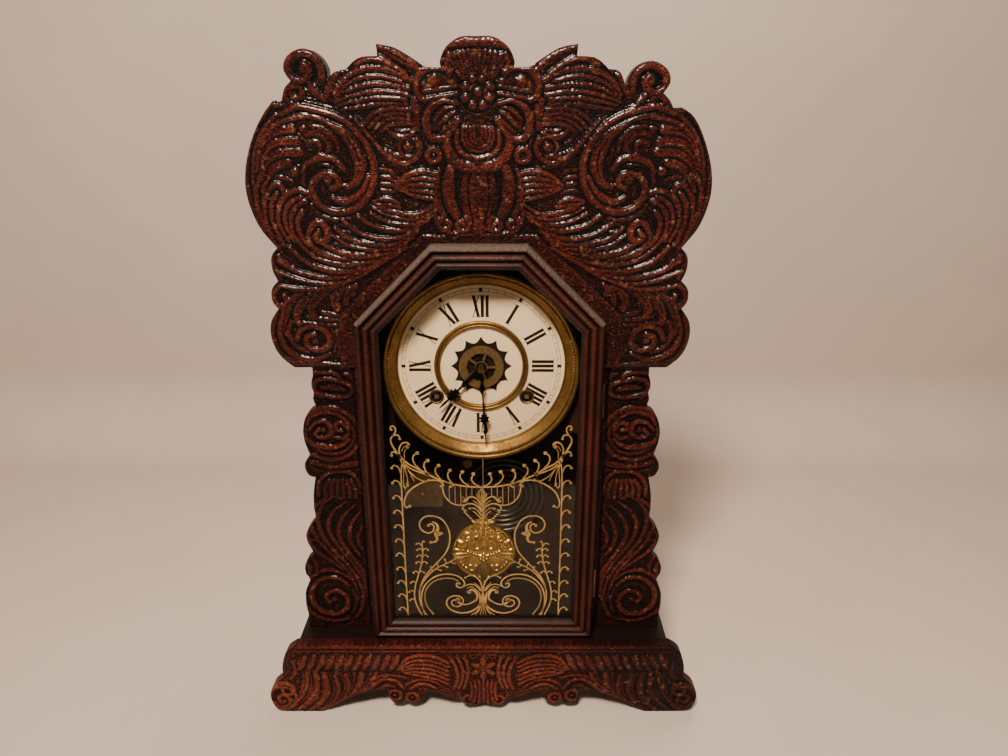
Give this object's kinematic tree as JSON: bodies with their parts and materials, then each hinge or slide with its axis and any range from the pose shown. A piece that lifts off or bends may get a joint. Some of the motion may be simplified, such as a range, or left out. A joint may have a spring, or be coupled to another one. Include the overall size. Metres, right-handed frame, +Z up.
{
  "type": "shelf clock",
  "caption": "Victorian pressed-oak shelf clock with a scroll-sawn crest, an octagon-topped glazed door, a six-inch Roman dial with alarm disc, and a pendulum strike movement.",
  "frame": {"origin": "middle of the rectangle that the clock stands on, at the underside of its feet", "axes": "+Z up, +Y from the dial back into the case, +X towards the viewer's right"},
  "size_m": [0.395, 0.122, 0.5801],
  "materials": {
    "oak": "oil-varnished pressed oak, alligatored, glossy in places",
    "dark_oak": "dark stained wood, worn varnish",
    "inner_wood": "bare wood",
    "glass": "clear, with gilt transfer on its back",
    "brass": "aged brass, satin",
    "old_brass": "dull brass",
    "steel": "drawn wire and turned steel",
    "black_steel": "blued black",
    "iron": "black japanned cast iron",
    "zinc": "dull tinned sheet",
    "paper": "aged ivory printed paper",
    "bead": "stained bead"
  },
  "bodies": {
    "case": {"base_front_board": "oak", "base_top_board": "dark_oak", "base_left_side": "dark_oak", "base_right_side": "dark_oak", "left_upright": "oak", "right_upright": "oak", "crest_board": "oak", "case_left_side": "dark_oak", "case_right_side": "dark_oak", "case_roof": "dark_oak", "back_board": "inner_wood", "dial_strip_left": "inner_wood", "dial_strip_right": "inner_wood", "upper_hinge_case_leaf": "old_brass", "lower_hinge_case_leaf": "old_brass", "door_catch_spring": "old_brass", "dial_plate": "zinc", "dial_paper": "paper", "dial_bezel": "brass", "dial_centre_ring": "brass", "movement_front_plate": "old_brass", "movement_back_plate": "old_brass", "time_mainspring": "steel", "strike_mainspring": "steel", "gong_stand": "iron", "gong_coil": "steel", "alarm_frame": "old_brass"},
    "door": {"door_top_rail": "oak", "door_left_slant_rail": "oak", "door_right_slant_rail": "oak", "door_left_stile": "oak", "door_right_stile": "oak", "door_bottom_rail": "oak", "door_glass": "glass", "glass_bead": "bead", "upper_hinge_door_leaf": "old_brass", "lower_hinge_door_leaf": "old_brass"},
    "centre_arbor": {"centre_wheel": "brass", "minute_hand": "black_steel", "hand_nut": "brass"},
    "minute_wheel": {"minute_wheel": "brass"},
    "hour_pipe": {"hour_wheel": "brass", "hour_hand": "black_steel"},
    "alarm_disc": {"alarm_disc": "old_brass"},
    "time_main_wheel": {"time_main_wheel": "brass"},
    "time_winding_arbor": {"time_winding_arbor": "steel"},
    "time_second_wheel": {"time_second_wheel": "brass"},
    "time_third_wheel": {"time_third_wheel": "brass"},
    "escape_wheel": {"escape_wheel": "brass"},
    "verge": {"verge": "steel"},
    "pendulum": {"pendulum_rod": "steel", "pendulum_bob": "brass"},
    "strike_main_wheel": {"strike_main_wheel": "brass", "count_wheel": "brass"},
    "strike_winding_arbor": {"strike_winding_arbor": "steel"},
    "strike_second_wheel": {"strike_second_wheel": "brass"},
    "strike_third_wheel": {"strike_third_wheel": "brass"},
    "fly": {"fly": "brass"},
    "strike_hammer": {"strike_hammer": "brass"},
    "alarm_wheel": {"alarm_wheel": "brass"}
  },
  "joints": [
    {"name": "door_swing", "type": "hinge", "parent": "case", "child": "door", "pos_m": [0.1003, -0.0373, 0.2], "axis": [0, 0, 1], "range_deg": [0, 90]},
    {"name": "minute_hand_turn", "type": "hinge", "parent": "case", "child": "centre_arbor", "pos_m": [0, 0, 0.3285], "axis": [0, 1, 0], "continuous": true},
    {"name": "minute_wheel_turn", "type": "hinge", "parent": "case", "child": "minute_wheel", "pos_m": [0.01018, 0, 0.33868], "axis": [0, 1, 0], "continuous": true},
    {"name": "hour_hand_turn", "type": "hinge", "parent": "case", "child": "hour_pipe", "pos_m": [0, 0, 0.3285], "axis": [0, 1, 0], "continuous": true},
    {"name": "alarm_disc_set", "type": "hinge", "parent": "hour_pipe", "child": "alarm_disc", "pos_m": [0, 0, 0.3285], "axis": [0, 1, 0], "continuous": true},
    {"name": "time_main_wheel_turn", "type": "hinge", "parent": "case", "child": "time_main_wheel", "pos_m": [0.0383, 0, 0.301], "axis": [0, 1, 0], "continuous": true},
    {"name": "time_second_wheel_turn", "type": "hinge", "parent": "case", "child": "time_second_wheel", "pos_m": [0.02039, 0, 0.32253], "axis": [0, 1, 0], "continuous": true},
    {"name": "time_third_wheel_turn", "type": "hinge", "parent": "case", "child": "time_third_wheel", "pos_m": [0.00503, 0, 0.30733], "axis": [0, 1, 0], "continuous": true},
    {"name": "escape_wheel_turn", "type": "hinge", "parent": "case", "child": "escape_wheel", "pos_m": [0, 0, 0.2855], "axis": [0, 1, 0], "continuous": true},
    {"name": "time_winding", "type": "hinge", "parent": "case", "child": "time_winding_arbor", "pos_m": [0.0383, 0, 0.301], "axis": [0, 1, 0], "continuous": true},
    {"name": "pendulum_swing", "type": "hinge", "parent": "case", "child": "pendulum", "pos_m": [0, 0, 0.3095], "axis": [0, 1, 0], "range_deg": [-4.5, 4.5]},
    {"name": "verge_rock", "type": "hinge", "parent": "case", "child": "verge", "pos_m": [0, 0, 0.3025], "axis": [0, 1, 0], "range_deg": [-5.5, 5.5]},
    {"name": "strike_third_wheel_turn", "type": "hinge", "parent": "case", "child": "strike_third_wheel", "pos_m": [-0.02831, 0, 0.34004], "axis": [0, 1, 0], "continuous": true},
    {"name": "strike_main_wheel_turn", "type": "hinge", "parent": "case", "child": "strike_main_wheel", "pos_m": [-0.0383, 0, 0.301], "axis": [0, 1, 0], "continuous": true},
    {"name": "strike_second_wheel_turn", "type": "hinge", "parent": "case", "child": "strike_second_wheel", "pos_m": [-0.04171, 0, 0.32879], "axis": [0, 1, 0], "continuous": true},
    {"name": "fly_turn", "type": "hinge", "parent": "case", "child": "fly", "pos_m": [-0.02458, 0, 0.35395], "axis": [0, 1, 0], "continuous": true},
    {"name": "strike_winding", "type": "hinge", "parent": "case", "child": "strike_winding_arbor", "pos_m": [-0.0383, 0, 0.301], "axis": [0, 1, 0], "continuous": true},
    {"name": "strike_hammer_swing", "type": "hinge", "parent": "case", "child": "strike_hammer", "pos_m": [-0.01625, 0, 0.275], "axis": [0, 1, 0], "range_deg": [0, 12]},
    {"name": "alarm_wheel_turn", "type": "hinge", "parent": "case", "child": "alarm_wheel", "pos_m": [-0.058, 0, 0.188], "axis": [0, 1, 0], "continuous": true}
  ],
  "couplings": [
    {"joint": "minute_wheel_turn", "follows": "minute_hand_turn", "ratio": -0.33333},
    {"joint": "hour_hand_turn", "follows": "minute_hand_turn", "ratio": 0.083333},
    {"joint": "time_second_wheel_turn", "follows": "minute_hand_turn", "ratio": -0.19048},
    {"joint": "time_main_wheel_turn", "follows": "minute_hand_turn", "ratio": 0.031746},
    {"joint": "time_third_wheel_turn", "follows": "minute_hand_turn", "ratio": -7},
    {"joint": "escape_wheel_turn", "follows": "minute_hand_turn", "ratio": 42},
    {"joint": "verge_rock", "follows": "pendulum_swing", "ratio": 1.1795},
    {"joint": "strike_second_wheel_turn", "follows": "strike_third_wheel_turn", "ratio": -0.19048},
    {"joint": "strike_main_wheel_turn", "follows": "strike_third_wheel_turn", "ratio": 0.031746},
    {"joint": "fly_turn", "follows": "strike_third_wheel_turn", "ratio": -5}
  ]
}
